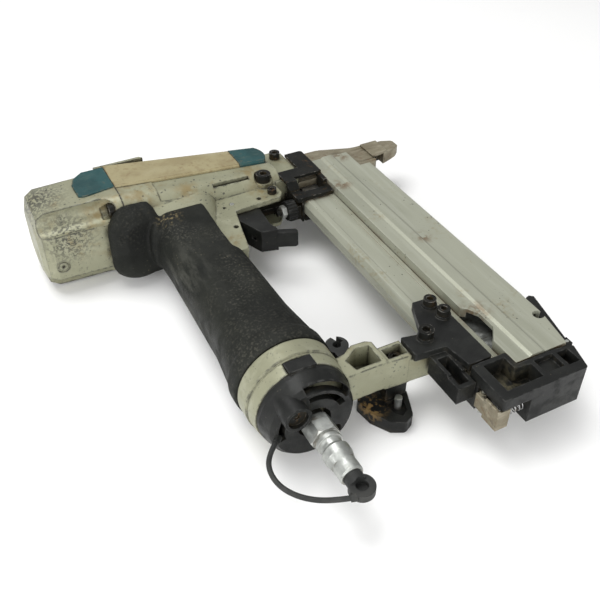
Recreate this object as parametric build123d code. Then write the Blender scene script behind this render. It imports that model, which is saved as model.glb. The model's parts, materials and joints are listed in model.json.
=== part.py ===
from build123d import *
import os
from math import cos, pi, radians, sin, tan

# Pneumatic floor stapler (flooring nailer) for 4 mm crown, 50 mm leg staples, lying on its side.
#
# Design frame, millimetres: the drive axis is the X axis and points from the head cap to the nose.
# X = 0 is the end face of the head cap. The handle and the magazine run along -Y, at right angles
# to the drive axis. Z is the width of the tool and Z = 0 is its plane of symmetry, so +Z is up
# while the tool lies on its side. At the end every piece is moved so that the origin is the
# centre of the underside of the whole tool (ORIGIN, below).

# ---------------------------------------------------------------- driving dimensions
WIDTH = 55.0               # head cap, along Y
DEPTH = 55.0               # head cap, along Z: the widest part of the tool
CROWNING = 3.5             # how far the head cap's end face bulges
HEAD_LENGTH = 50.0         # head cap, along X, without the bulge
BODY_END = 155.5           # front end of the tapered body
BLOCK_END = 168.0          # front end of the nose block
NOSE_TIP = 259.0           # tip of the contact shoe, not pressed

BORE = 26.0                # cylinder bore diameter
SLEEVE_WALL = 2.5
SLEEVE_START = 30.0
SLEEVE_END = 145.0
PISTON_LENGTH = 12.0
STROKE = 84.0              # piston and driver
PISTON_FIT = 0.08          # radial gap between piston and sleeve
BLADE_WIDTH = 3.8          # driver blade, along Z
BLADE_THICKNESS = 1.4

HANDLE_X = 82.0            # handle axis
HANDLE_HALF_X = 18.5       # bare casting under the rubber
HANDLE_HALF_Z = 16.0
RUBBER = 3.0               # thickness of the rubber grip
GRIP_END = -178.0          # where the rubber stops
RING_END = -197.0          # end of the silver handle ring
CAP_END = -210.0           # end face of the black exhaust cap
RING_RADIUS = 26.5
CHAMBER_RADIUS = 12.0      # compressed air chamber in the handle

TRIGGER_PIVOT = (116.0, -34.0)
TRIGGER_HALF = 7.6         # half the width of the trigger
VALVE_Y = -52.0            # axis of the trigger valve, which is parallel to X
CHEEK_GAP = 8.0            # inner faces of the two trigger cheeks are at +-CHEEK_GAP
CHEEK_TOP = 11.0

NOSE_CORE_Y = (-2.2, 2.2)  # slim front of the driver guide, which the shoe slides over
NOSE_CORE_HALF = 3.1
SHOE_FOOT_Z = -5.0         # where the contact arm meets the shoe
ARM_Y = -28.0              # contact arm axis
DIAL_Y = -42.0             # depth dial axis
DIAL_RADIUS = 6.5

CROWN = 4.0                # staple, outside
LEG = 50.0
WIRE = 0.9
CROWN_X = 170.2            # back of the staple crown
STRIP_FRONT = -1.5
STRIP_LENGTH = 108.0
RAIL_X = (162.3, 183.6)    # fixed magazine rail
COVER_X = (184.1, 226.0)   # sliding magazine cover
RAIL_HALF = 6.0            # half thickness of the rail, along Z
COVER_HALF = 11.5
CAVITY_HALF = 9.0
RAIL_START = -39.5
RAIL_END = -221.5
COVER_START = -10.5
COVER_END = -230.4
CAP_REAR = -249.0
PUSHER_LENGTH = 12.0
CAP_HALF = 11.6

HOOK_BOLT = (137.0, -194.0)
HOOK_BOTTOM = -28.0
LATCH_PIVOT = (163.8, -233.0)
CATCH_PIVOT = (221.0, -227.0)

PLUG_BORE = 7.0            # air plug
PLUG_RADIUS = 6.0
PLUG_SHOULDER_Y = -238.4
PLUG_TIP_Y = -246.0
STRAP_DIAMETER = 2.6       # strap of the rubber dust cap
GAP = 0.3                  # between moving pieces

SPIGOT_END = -190.0        # the handle casting ends here, inside the ring
ARM_TOP = 10.0
ARM_Z = -6.5               # the contact arm's rod runs below the staples
TAB_X = (74.5, 89.5)       # notch in the ring for the exhaust cap's tab
CAP_SCREWS = ((70.5, 13.0), (93.5, -11.5))
SCREW_SEATS = (-211.5, -202.0)
BOSS_END = -216.0
EYELET = (82.6, -253.2)
RAIL_SCREWS = ((170.5, -174.5), (172.5, -184.5))
HEAD_PLUGS = ((7.2, -6.0), (15.5, 1.0))   # x and z of two core plugs in the head's lower side
STRAP = ((75.5, -255.5, 0), (66.5, -252.0, -1), (57.2, -244.5, -2), (51.8, -234.8, -3),
         (50.9, -225.0, -3), (54.2, -216.8, -2.6), (60.2, -211.8, -2))
BRACKET_SCREW = (144.0, -21.5)            # large nose screw
GUIDE_SCREW = (164.5, 4.2)
CHEEK_SCREW = (144.5, -33.6)
ORIGIN = (127.75, -110.75, HOOK_BOTTOM)   # centre of the underside, in the design frame

PANEL_DEPTH = 2.2          # how deep the panels are let into the body
CAP_BOLT_AT = 20.0         # cap bolts stand this far from the drive axis, along Y and Z
GROOVE_AT = 24.0
GROOVE_RADIUS = 9.0
GROOVE_END = 40.0
BOLT_SEAT = 45.0           # floor of the cap bolts' counterbores
CLIP = (115.0, -172.6)     # wrench clip on the handle ring


# ---------------------------------------------------------------- helpers
def box(x, y, z):
    """A box between the low and high values of each axis."""
    size = [high - low for low, high in (x, y, z)]
    return Pos(*[(low + high) / 2 for low, high in (x, y, z)]) * Box(*size)


def rod_x(radius, x, y, z=0.0):
    """A cylinder parallel to X, between two X values."""
    return Pos((x[0] + x[1]) / 2, y, z) * Rot(0, 90, 0) * Cylinder(radius, x[1] - x[0])


def rod_y(radius, x, y, z=0.0):
    """A cylinder parallel to Y, between two Y values."""
    return Pos(x, (y[0] + y[1]) / 2, z) * Rot(90, 0, 0) * Cylinder(radius, y[1] - y[0])


def rod_z(radius, x, y, z):
    """A cylinder parallel to Z, between two Z values."""
    return Pos(x, y, (z[0] + z[1]) / 2) * Cylinder(radius, z[1] - z[0])


def plate(points, z, round_by=0.0):
    """An outline of (x, y) points, extruded between two Z values."""
    face = make_face(Polyline(*points, close=True))
    if round_by:
        face = fillet(face.vertices(), round_by)
    return extrude(Pos(0, 0, z[0]) * face, z[1] - z[0])


def bar(points, y, round_by=0.0):
    """An outline of (x, z) points, extruded between two Y values."""
    face = make_face(Polyline(*points, close=True))
    if round_by:
        face = fillet(face.vertices(), round_by)
    plane = Plane(origin=(0, y[1], 0), x_dir=(1, 0, 0), z_dir=(0, -1, 0))
    return extrude(plane * face, y[1] - y[0])


def section_x(x, y, half_z, radius):
    """A rounded rectangle across the drive axis, for a loft along X."""
    plane = Plane(origin=(x, (y[0] + y[1]) / 2, 0), x_dir=(0, 1, 0), z_dir=(1, 0, 0))
    return plane * RectangleRounded(y[1] - y[0], 2 * half_z, radius)


def section_y(y, x, half_z, radius):
    """A rounded rectangle across the handle, for a loft along Y."""
    plane = Plane(origin=((x[0] + x[1]) / 2, y, 0), x_dir=(1, 0, 0), z_dir=(0, -1, 0))
    return plane * RectangleRounded(x[1] - x[0], 2 * half_z, radius)


def lofted(*sections):
    """Solids lofted from each section to the next, joined."""
    solid = None
    for first, second in zip(sections, sections[1:]):
        piece = loft([first, second])
        solid = piece if solid is None else solid + piece
    return solid


def turned_y(profile, x):
    """A solid turned about a line parallel to Y, from (radius, y) points."""
    face = make_face(Polyline(*profile, close=True))
    return Pos(x, 0, 0) * revolve(face, Axis.Y)


def turned_x(profile):
    """A solid turned about the drive axis, from (x, radius) points."""
    face = make_face(Polyline(*profile, close=True))
    return revolve(face, Axis.X)


def socket_screw(x, y, z_head, head, shank, height, depth):
    """A socket head cap screw along Z, its head standing on z_head."""
    screw = rod_z(head, x, y, (z_head, z_head + height))
    screw += rod_z(shank, x, y, (z_head - depth, z_head + 0.5))
    socket = Pos(x, y, z_head + height - 2.2) * RegularPolygon(head * 0.55, 6)
    return screw - extrude(socket, 3.0)


def spring_tube(outer, wire, along, y, z=0.0):
    """The outer shape of a coil spring along X: a tube as thick as its wire."""
    return rod_x(outer, along, y, z) - rod_x(outer - wire, along, y, z)


# ---------------------------------------------------------------- head and body
def body_section(x):
    """The tapered body's Y range and half depth at one X."""
    share = (x - HEAD_LENGTH) / (BODY_END - HEAD_LENGTH)
    low = -WIDTH / 2 + 2.6 * share
    high = WIDTH / 2 - 11.1 * share
    half = DEPTH / 2 - 1.6 - 9.0 * share
    return (low, high), half


def panel_solid(x, top=2.1):
    """A raised panel that follows the sloping top of the body between two X values."""
    faces = []
    for at in x:
        half = body_section(at)[1]
        far = half - 4.5
        plane = Plane(origin=(at, 0, 0), x_dir=(0, 1, 0), z_dir=(1, 0, 0))
        low, high = -7.0, far
        outline = ((low, half - PANEL_DEPTH), (high, half - PANEL_DEPTH),
                   (high, half + top - 1.2), (high - 1.2, half + top),
                   (low + 1.2, half + top), (low, half + top - 1.2))
        faces.append(plane * make_face(Polyline(*outline, close=True)))
    return loft(faces)


def head_outer():
    """The head cap before its grooves and bores are cut."""
    return lofted(section_x(-CROWNING, (-17.5, 17.5), 17.5, 12), section_x(-1.2, (-23.5, 23.5), 23.5, 12),
                  section_x(4, (-26.6, 26.6), 26.6, 13),
                  section_x(HEAD_LENGTH, (-WIDTH / 2, WIDTH / 2), DEPTH / 2, 13))


def far_rib(start, end):
    """The raised rib along the far upper edge of the head and the body."""
    return plate(((start, 22.3), (start, 24.4), (end - 2, 24.4), (end, 22.3)), (12, 26.0))


def make_head_cap():
    cap = head_outer() + (far_rib(37, HEAD_LENGTH + 3) & box((37, HEAD_LENGTH), (0, 40), (0, 40)))
    for side_y in (-1, 1):
        for side_z in (-1, 1):
            groove_at = side_y * GROOVE_AT, side_z * GROOVE_AT
            cap -= rod_x(GROOVE_RADIUS, (-CROWNING - 1, GROOVE_END - 4), *groove_at)
            cap -= Pos(GROOVE_END - 4, *groove_at) * Sphere(GROOVE_RADIUS)
            at = side_y * CAP_BOLT_AT, side_z * CAP_BOLT_AT
            cap -= rod_x(4.6, (GROOVE_END - 3, BOLT_SEAT), *at)
            cap -= rod_x(2.7, (GROOVE_END - 1, HEAD_LENGTH + 1), *at)
    # core plugs in the lower side, one large and one small
    plug_at, pin_at = HEAD_PLUGS
    cap -= rod_y(4.0, plug_at[0], (-28, -26.2), plug_at[1]) - rod_y(2.9, plug_at[0], (-28, -26), plug_at[1])
    cap -= rod_y(0.9, plug_at[0], (-28, -25.8), plug_at[1])
    cap -= rod_y(1.3, pin_at[0], (-28, -26.6), pin_at[1])
    cap -= rod_x(18.0, (9, SLEEVE_START + 1), 0)
    cap -= rod_x(19.5, (SLEEVE_START, HEAD_LENGTH + 1), 0)
    cap -= rear_pad_solid()
    return cap


def rear_pad_solid():
    top = DEPTH / 2
    outline = ((27, 6), (27.4, -8.2), (30.5, -9.6), (HEAD_LENGTH + 1, -6.8), (HEAD_LENGTH + 1, 18.5),
               (36, 18.5), (29.5, 13))
    return plate(outline, (top - 1.4, top + 0.5))


def make_rear_pad():
    pad = rear_pad_solid()
    return pad & box((0, HEAD_LENGTH - 0.1), (-40, 40), (0, 60))


def handle_core():
    """The handle of the casting, flaring where it leaves the body."""
    across = HANDLE_X - HANDLE_HALF_X, HANDLE_X + HANDLE_HALF_X
    return lofted(section_y(-18, (52, 112), 19.0, 12), section_y(-52, across, HANDLE_HALF_Z, 13),
                  section_y(SPIGOT_END, across, HANDLE_HALF_Z, 13))


def body_outer():
    """The main casting before its bores and seats are cut."""
    start, end = body_section(HEAD_LENGTH), body_section(BODY_END)
    body = loft([section_x(HEAD_LENGTH, start[0], start[1], 13),
                 section_x(BODY_END, end[0], end[1], 10)])
    # raised collar next to the head, which runs on as a rib along the lower edges
    collar_x = HEAD_LENGTH, 107.0
    collar = loft([section_x(at, (body_section(at)[0][0], body_section(at)[0][1] + 0.8),
                             body_section(at)[1] + 1.4, 13) for at in collar_x])
    body += collar & (box((HEAD_LENGTH, 73), (-40, -8.4), (-40, 40)) +
                      box((72, 107), (-40, -24.3), (-40, 40)))
    body += box((BODY_END - 4, BLOCK_END), (-25, 12), (-12, 12))
    body += box((BLOCK_END - 1, 171), (-17.3, 8), (7.3, 12)) + far_rib(HEAD_LENGTH, 77.5)
    body += handle_core()
    # web and cheeks round the trigger
    web = plate(((96, -26), (112, -26), (107, -50), (106, -82), (96, -82)), (-CHEEK_TOP, CHEEK_TOP))
    body += web
    cheek = ((100, -22), (150.5, -22), (150.5, -36), (147, -40.5), (115, -42.5), (111, -60), (106.5, -82),
             (100, -82))
    body += plate(cheek, (CHEEK_GAP, CHEEK_TOP), 0.9)
    body += plate(cheek, (-CHEEK_TOP, -CHEEK_GAP), 0.9)
    # boss under the large nose screw
    body += rod_z(6.0, *BRACKET_SCREW, (8, 14))
    return body


def make_body():
    body = body_outer()
    # long slot between the body and the trigger cheek, and small holes in the cheek
    body -= plate(((109, -19.6), (134.5, -18.4), (134.5, -20.6), (109, -21.8)), (11.5, 30))
    body -= rod_z(0.9, 110, -36, (9, 12)) + rod_z(1.4, 134, -36.2, (9, 12))
    body -= rod_z(1.5, 108.5, -58.5, (8.5, 12))
    # bores
    body -= rod_x(BORE / 2 + SLEEVE_WALL + 2.0, (HEAD_LENGTH - 1, 116), 0)
    body -= rod_x(BORE / 2 + SLEEVE_WALL + 0.05, (115, SLEEVE_END + 0.1), 0)
    body -= rod_x(4.2, (SLEEVE_END - 1, BLOCK_END + 1), 0)
    body -= rod_y(CHAMBER_RADIUS, HANDLE_X, (-191, -12))
    body -= rod_x(7.5, (HANDLE_X, 114), VALVE_Y)
    body -= box((106.2, 130), (-64, -30), (-CHEEK_GAP, CHEEK_GAP))
    body -= rod_z(1.52, *TRIGGER_PIVOT, (-20, 20))
    for side_y in (-1, 1):
        for side_z in (-1, 1):
            body -= rod_x(2.55, (HEAD_LENGTH - 1, 63), side_y * CAP_BOLT_AT, side_z * CAP_BOLT_AT)
    body -= panel_solid((HEAD_LENGTH, 134))
    body -= panel_solid((134, 156), top=4.0)
    body -= rod_z(6.0, *BRACKET_SCREW, (14, 40))
    body -= rod_z(1.9, *BRACKET_SCREW, (4, 20))
    body -= rod_z(1.55, *GUIDE_SCREW, (5, 20))
    body -= rod_z(1.55, *CHEEK_SCREW, (5, 20))
    # room for the contact arm
    body -= box((109, 156), (ARM_Y - 3, ARM_Y + 2.6), (-CHEEK_GAP, CHEEK_GAP))
    body -= box((147, 156), (ARM_Y - 3, ARM_Y + 2.6), (-8.8, 0))
    # flat seat for the driver guide
    body -= box((BLOCK_END - 6, BLOCK_END + 1), (-12.2, 8.2), (-7.2, 7.2))
    return body


def make_cap_bolts():
    bolts = []
    for side_y in (-1, 1):
        for side_z in (-1, 1):
            at = side_y * CAP_BOLT_AT, side_z * CAP_BOLT_AT
            bolt = rod_x(4.2, (BOLT_SEAT - 4, BOLT_SEAT), *at) + rod_x(2.5, (BOLT_SEAT - 1, 62), *at)
            socket = Plane(origin=(BOLT_SEAT - 5, *at), x_dir=(0, 1, 0), z_dir=(1, 0, 0))
            bolts.append(bolt - extrude(socket * RegularPolygon(2.2, 6), 3.4))
    return bolts


def make_label_panel():
    return panel_solid((HEAD_LENGTH + 0.3, 133.9))


def make_front_pad():
    pad = panel_solid((134.1, 156), top=2.4)
    tip = rod_z(13.0, 142.5, 2.5, (0, 40)) + box((130, 143), (-20, 30), (0, 40))
    return pad & tip


# ---------------------------------------------------------------- pneumatic engine
def make_sleeve():
    inner, outer = BORE / 2, BORE / 2 + SLEEVE_WALL
    sleeve = turned_x(((SLEEVE_START, inner), (SLEEVE_END, inner), (SLEEVE_END, outer),
                       (SLEEVE_START + 8, outer), (SLEEVE_START + 8, 19.4), (SLEEVE_START + 4, 19.4),
                       (SLEEVE_START + 4, outer), (SLEEVE_START, outer)))
    # return air ports round the lower end
    for turn in range(0, 360, 60):
        sleeve -= Rot(turn, 0, 0) * rod_z(1.25, 108, 0, (0, 20))
    return sleeve


def make_piston():
    start, end = SLEEVE_START + 1, SLEEVE_START + 1 + PISTON_LENGTH
    radius = BORE / 2 - PISTON_FIT
    return turned_x(((start, 0), (start, radius), (start + 4, radius), (start + 4, radius - 2),
                     (start + 7, radius - 2), (start + 7, radius), (end, radius), (end, 5),
                     (end + 3, 4), (end + 3, 0))) - box((end - 4, end + 4), (-0.7, 0.7), (-1.9, 1.9))


def make_piston_ring():
    start = SLEEVE_START + 5.05
    radius = BORE / 2
    return turned_x(((start, radius - 2), (start, radius - 0.05), (start + 2.9, radius - 0.05),
                     (start + 2.9, radius - 2)))


def make_driver_blade():
    start = SLEEVE_START + 1 + PISTON_LENGTH - 4
    return box((start, CROWN_X - 1.0), (-BLADE_THICKNESS / 2, BLADE_THICKNESS / 2),
               (-BLADE_WIDTH / 2, BLADE_WIDTH / 2))


def make_bumper():
    start = SLEEVE_START + 1 + PISTON_LENGTH + STROKE + 3.3
    return turned_x(((start, 5), (start, 11.5), (start + 3, 12.9), (SLEEVE_END, 12.9),
                     (SLEEVE_END, 5)))


def make_head_valve():
    return turned_x(((18, 7), (18, 17.9), (22, 17.9), (22, 15.5), (29.7, 15.5), (29.7, 12),
                     (24, 11), (24, 7)))


def make_head_valve_seal():
    return turned_x(((22.1, 15.6), (22.1, 17.95), (24.4, 17.95), (24.4, 15.6)))


def make_head_valve_spring():
    return spring_tube(14, 1.4, (9.1, 17.8), 0)


# ---------------------------------------------------------------- handle end
def make_grip():
    """The rubber sleeve of the handle, with the lobe that wraps under the body and the head."""
    low, high = HANDLE_X - HANDLE_HALF_X - RUBBER, HANDLE_X + HANDLE_HALF_X + RUBBER
    half = HANDLE_HALF_Z + RUBBER
    grip = lofted(section_y(-27.0, (60, 106.5), 15.2, 11), section_y(-38, (60.5, 105.5), 19.8, 14),
                  section_y(-66, (low, high), half, 16), section_y(-140, (low - 1, high + 1), half + 2, 17),
                  section_y(-164, (HANDLE_X - 25.5, HANDLE_X + 25.5), 25.5, 24),
                  section_y(GRIP_END, (HANDLE_X - 26.5, HANDLE_X + 26.5), 26.5, 26))
    lobe = lofted(section_y(-24.4, (38, 66.5), 24.6, 13.5), section_y(-33.5, (35.4, 67), 24.2, 14.5),
                  section_y(-37.5, (38, 67), 22.4, 14), section_y(-40.5, (45, 67), 19.2, 10.5))
    lobe += lofted(section_y(-24.4, (50, 66.5), 24.1, 5), section_y(-33.5, (50, 67), 23.2, 5),
                   section_y(-37.5, (50, 67.5), 21.2, 5), section_y(-40.5, (52, 68), 18.6, 5))
    grip += lobe - plate(((64.6, -20), (64.6, -26.2), (68.4, -30.2), (71, -30.2), (71, -20)), (12, 40))
    # flared lip at the end of the handle
    grip += turned_y(((15, -166.5), (26.2, -166.5), (27.4, -169), (27.4, GRIP_END + 1.2),
                      (26.2, GRIP_END), (15, GRIP_END)), HANDLE_X) - handle_core()
    grip -= rod_z(6.6, *CLIP, (-9.4, 5.4))
    grip -= body_outer()
    grip -= head_outer()
    # the web and cheeks stay bare
    grip -= plate(((95.9, -20), (120, -20), (120, -100), (106, -82.1), (95.9, -82.1)), (-30, 30))
    return grip


def make_rear_arm():
    """The silver ring that closes the handle, in one casting with the arm to the magazine."""
    arm = turned_y(((0, GRIP_END - GAP), (RING_RADIUS - 0.8, GRIP_END - GAP), (RING_RADIUS, GRIP_END - 1.2),
                    (RING_RADIUS, -188.6), (RING_RADIUS - 1, -189), (RING_RADIUS - 1, -189.8),
                    (RING_RADIUS - 0.6, -190.2), (RING_RADIUS - 1.4, RING_END), (8.8, RING_END),
                    (8.8, -204), (0, -204)), HANDLE_X)
    arm += plate(((98, -200), (129, -200), (129, -183.5), (126, -181.5), (118, -181), (112, -185),
                  (98, -187)), (-8.5, ARM_TOP))
    arm += plate(((128, -200), (142.2, -201), (142.2, -188.5), (128, -188.5)), (-9.5, ARM_TOP - 0.5))
    arm += plate(((141, -201), (158, -202), (158, -188.5), (142, -188.5)), (-9, 6.7))
    arm -= plate(((112, -197.4), (126.4, -197.4), (126.4, -185), (119.5, -183.6), (110.5, -189.5)),
                 (-4, ARM_TOP + 1))
    arm -= box((130.5, 141.5), (-198, -190.5), (2, ARM_TOP + 1))
    arm -= rod_z(2.1, *HOOK_BOLT, (-11, 6))
    arm -= rod_z(2.1, 154, -195, (-6, 8))
    # spigot of the handle, air chamber and plug thread
    across = HANDLE_X - HANDLE_HALF_X - 0.05, HANDLE_X + HANDLE_HALF_X + 0.05
    arm -= loft([section_y(-178, across, HANDLE_HALF_Z + 0.05, 13),
                 section_y(SPIGOT_END, across, HANDLE_HALF_Z + 0.05, 13)])
    arm -= rod_y(6.0, HANDLE_X, (-205, -185))
    arm -= rod_y(25.0, HANDLE_X, (-212, RING_END)) - rod_y(8.8, HANDLE_X, (-212, RING_END))
    # seat of the exhaust cap's tab
    arm -= box(TAB_X, (RING_END - 1, -190.4), (18, 40))
    for x, z in CAP_SCREWS:
        arm -= rod_y(1.6, x, (-205, -191), z)
    return arm


def make_exhaust_cap():
    cap = turned_y(((8.95, RING_END - 0.1), (24.6, RING_END - 0.1), (24.6, -200), (22.6, -207.5),
                    (20.5, CAP_END), (8.95, CAP_END)), HANDLE_X)
    cap -= turned_y(((11, RING_END), (22.4, RING_END), (21.5, -203.5), (18.5, CAP_END + 3.5),
                     (11, CAP_END + 3.5)), HANDLE_X)
    # curved exhaust slots: two rows round the upper right side and one at the lower left
    for radius, first, last in ((16.0, 20, 100), (21.0, 28, 102), (17.5, 152, 196)):
        slot = turned_y(((radius - 1.7, CAP_END - 1), (radius + 1.7, CAP_END - 1),
                         (radius + 1.7, CAP_END + 8), (radius - 1.7, CAP_END + 8)), 0)
        middle, half = radians((first + last) / 2), radians((last - first) / 2)
        reach = 40.0
        wedge = [(0, 0)]
        for turn in (-half, -half / 2, 0, half / 2, half):
            wedge.append((reach * cos(middle + turn), reach * sin(middle + turn)))
        cap -= (slot & bar(wedge, (CAP_END - 2, CAP_END + 9))).moved(Location((HANDLE_X, 0, 0)))
    cap += box((TAB_X[0] + GAP, TAB_X[1] - GAP), (RING_END - 1, -190.8), (18.4, 25.4))
    (x, z), (low_x, low_z) = CAP_SCREWS
    cap += rod_y(7.0, x, (BOSS_END, -198), z)
    cap += rod_y(4.6, low_x, (CAP_END + 1, -198), low_z)
    cap -= rod_y(5.2, x, (BOSS_END - 1, SCREW_SEATS[0]), z)
    cap -= rod_y(3.5, low_x, (CAP_END - 1, SCREW_SEATS[1]), low_z)
    for x, z in CAP_SCREWS:
        cap -= rod_y(1.7, x, (-216, -190), z)
    # the strap's lug
    cap += cord_lug(STRAP[-1], STRAP[-2], 4.2)
    return cap


def make_exhaust_screws():
    screws = []
    for (x, z), seat, head in zip(CAP_SCREWS, SCREW_SEATS, (4.9, 3.3)):
        screw = rod_y(head, x, (seat - 2.6, seat), z) + rod_y(1.5, x, (seat - 0.5, -192), z)
        screws.append(screw - rod_y(1.4, x, (seat - 4, seat - 1.3), z))
    return screws


def make_air_plug():
    plug = turned_y(((0, -190), (5.95, -190), (5.95, -211), (6.6, -211), (6.6, -222), (5.8, -222.4),
                     (5.8, -223.2), (6.7, -223.6), (6.7, -225.4), (5.9, -225.8), (5.6, -227), (5.6, -228.6),
                     (7.0, -230.4), (7.0, -234.4), (PLUG_RADIUS, PLUG_SHOULDER_Y),
                     (PLUG_RADIUS, PLUG_TIP_Y + 0.8), (5.4, PLUG_TIP_Y), (0, PLUG_TIP_Y)), HANDLE_X)
    plane = Plane(origin=(HANDLE_X, -211, 0), x_dir=(1, 0, 0), z_dir=(0, -1, 0))
    hexagon = extrude(plane * RegularPolygon(7.0, 6, major_radius=False), 11)
    plug += hexagon & turned_y(((0, -211), (7.2, -211), (8.1, -212), (8.1, -221), (7.2, -222), (0, -222)),
                               HANDLE_X)
    return plug - rod_y(PLUG_BORE / 2, HANDLE_X, (-260, -180))


def cord_lug(end, toward, length):
    """A short round lug that ends square to the strap at its end point."""
    end, toward = Vector(*end), Vector(*toward)
    away = (end - toward).normalized()
    return extrude(Plane(origin=end, z_dir=away) * Circle(STRAP_DIAMETER / 2 + 0.6), length)


def make_dust_cap():
    """The rubber stopper of the air plug, with its eyelet."""
    cap = rod_y(PLUG_BORE / 2 - 0.05, HANDLE_X, (PLUG_TIP_Y - 0.4, PLUG_TIP_Y + 7))
    cap += rod_y(4.7, HANDLE_X, (PLUG_TIP_Y - 5, PLUG_TIP_Y - 0.05))
    x, y = EYELET
    cap += rod_z(6.3, x, y, (-2.1, 2.1))
    cap += cord_lug(STRAP[0], STRAP[1], 3.0)
    return cap - rod_z(3.0, x, y, (-0.6, 8))


def make_dust_strap():
    """The free strap between the stopper and the exhaust cap."""
    points = [Vector(*point) for point in STRAP]
    radii = []
    for before, at, after in zip(points, points[1:], points[2:]):
        shorter = min((at - before).length, (after - at).length)
        turn = (at - before).get_angle(after - at)
        radii.append(0.45 * shorter / tan(radians(turn / 2)))
    print("strap radii", [round(radius, 1) for radius in radii])
    path = FilletPolyline(*points, radius=radii)
    start = Plane(origin=path @ 0, z_dir=path % 0)
    strap = sweep(start * Circle(STRAP_DIAMETER / 2), path=path)
    print("strap length", round(path.length, 1), "volume", round(strap.volume, 1),
          "section times length", round(pi * STRAP_DIAMETER ** 2 / 4 * path.length, 1))
    return strap


def make_wrench_clip():
    """The open clip that holds the hexagon wrench."""
    x, y = CLIP
    clip = rod_z(6.2, x, y, (-9, 5)) + box((x - 4, x + 4), (-180.9, y), (-5, 5))
    clip -= rod_z(2.3, x, y, (-10, 10))
    return clip - Pos(x + 1.5, y + 5, 0) * Rot(0, 0, 20) * Box(2.6, 9, 30)


# ---------------------------------------------------------------- hook
def make_hook():
    foot = plate(((117, -191), (119, -203), (125, -213), (132, -216.5), (138, -213.5), (144, -198),
                  (140, -187.5), (127, -186)), (HOOK_BOTTOM, -20), 3.0)
    foot -= plate(((129, -200), (130, -209), (133, -212), (137, -209), (140, -200)), (-22.5, -19))
    hook = foot + box((130.5, 143), (-198.5, -188), (-21, -9.8))
    hook -= rod_z(2.1, *HOOK_BOLT, (-30, 0))
    return hook - rod_z(4.0, *HOOK_BOLT, (-30, -24))


def make_hook_bolt():
    bolt = rod_z(3.4, *HOOK_BOLT, (2, 5.4)) + rod_z(2.0, *HOOK_BOLT, (-26.6, 3))
    bolt += rod_z(3.6, *HOOK_BOLT, (-26.9, -24.1))
    return bolt - rod_z(1.5, *HOOK_BOLT, (3.6, 6))


def make_hook_peg():
    peg = rod_z(2.0, 135, -203.5, (-22.5, -15))
    return peg


# ---------------------------------------------------------------- trigger and valve
def make_trigger():
    outline = ((113, -32), (118, -29.6), (129, -31), (131.5, -42), (130.3, -61), (131.4, -64.3),
               (144.6, -69.9), (143.2, -73.8), (130.5, -68.4), (126, -67.2), (121.5, -66.2), (113.5, -46))
    trigger = plate(outline, (-TRIGGER_HALF, TRIGGER_HALF))
    hollow = ((105, -20), (122, -20), (127.5, -34), (129.3, -44), (128.3, -60), (125, -63), (122.4, -61.6),
              (117.2, -48), (109, -44))
    trigger -= plate(hollow, (-TRIGGER_HALF + 2, TRIGGER_HALF - 2))
    # narrow slot in the underside, and the finger pad, which is narrower than the channel
    trigger -= box((115, 124), (-62, -58.5), (-1.1, 1.1))
    pad_face = box((131.8, 160), (-90, -58), (-9, 9)) - Pos(136.7, -69, 0) * Rot(0, 0, -23) * fillet(
        Box(15.5, 14, 10.6).edges().filter_by(Axis.Y), 2.0)
    trigger -= pad_face
    trigger += box((111.2, 113.4), (VALVE_Y - 2.2, VALVE_Y + 12), (-TRIGGER_HALF, TRIGGER_HALF))
    # clearance for the contact arm, which passes over one side
    trigger -= box((108, 145), (ARM_Y - 2.4, -20), (-9, -2.6))
    return trigger - rod_z(1.56, *TRIGGER_PIVOT, (-20, 20))


def make_trigger_pin():
    return rod_z(1.5, *TRIGGER_PIVOT, (-CHEEK_TOP, CHEEK_TOP))


def make_valve_body():
    return rod_x(7.4, (88, 105.9), VALVE_Y) - rod_x(2.1, (87, 107), VALVE_Y) - rod_x(4.6, (87, 98), VALVE_Y)


def make_valve_stem():
    stem = rod_x(2.04, (90.5, 110.9), VALVE_Y) + rod_x(4.2, (94.6, 97.4), VALVE_Y)
    return stem


def make_valve_spring():
    return spring_tube(3.9, 0.8, (84.6, 94.4), VALVE_Y)


# ---------------------------------------------------------------- nose
def make_nose_bracket():
    bracket = box((156, 183.8), (-36, 2), (-14, 14))
    bracket = fillet(bracket.edges().filter_by(Axis.Z), 2.0)
    bracket -= box((158.5, 185), (-33, 3), (-12.2, 12.2))
    bracket -= box((155, 160), (-31.9, 3), (-12.2, 12.2))
    bracket -= box((155, 162), (-37, -30), (-9, 4.5))
    bracket -= box((169.2, 185), (-37, -30), (-2.7, 2.7))
    # the top plate is L-shaped and stops short of a window
    bracket -= box((155, 171.2), (-17.3, 3), (12, 15))
    bracket -= box((163.5, 185), (-40, -27.5), (9, 15))
    bracket -= Pos(160, -36, 14) * Rot(45, 0, 0) * Box(20, 6, 6)
    bracket -= box((163.5, 181), (-37, -30), (3.5, 15))
    bracket += box((158.5, 165), (-33.4, -25.4), (-12.3, -9.9))
    # collar round the front end of the magazine rail
    collar = fillet(box((157, 183.8), (-46, -38.8), (6.3, 9)).edges().filter_by(Axis.Z), 1.5)
    collar += box((157, 163.5), (-39.5, -33), (6.3, 9)) + box((181, 183.8), (-39.5, -33), (6.3, 9))
    collar += box((181, 183.8), (-36, -27), (3, 12.2))
    collar += box((163, 183.8), (-45.5, -35.5), (-9.5, -6.3)) + box((160.9, 162.1), (-45.5, -35), (-9.5, 7))
    bracket += collar
    # stop that the contact spring pushes against
    bracket += box((164, 166), (-33.4, -25.6), (-12.3, -2.9)) - rod_x(2.1, (160, 170), ARM_Y, ARM_Z)
    return bracket


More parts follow.
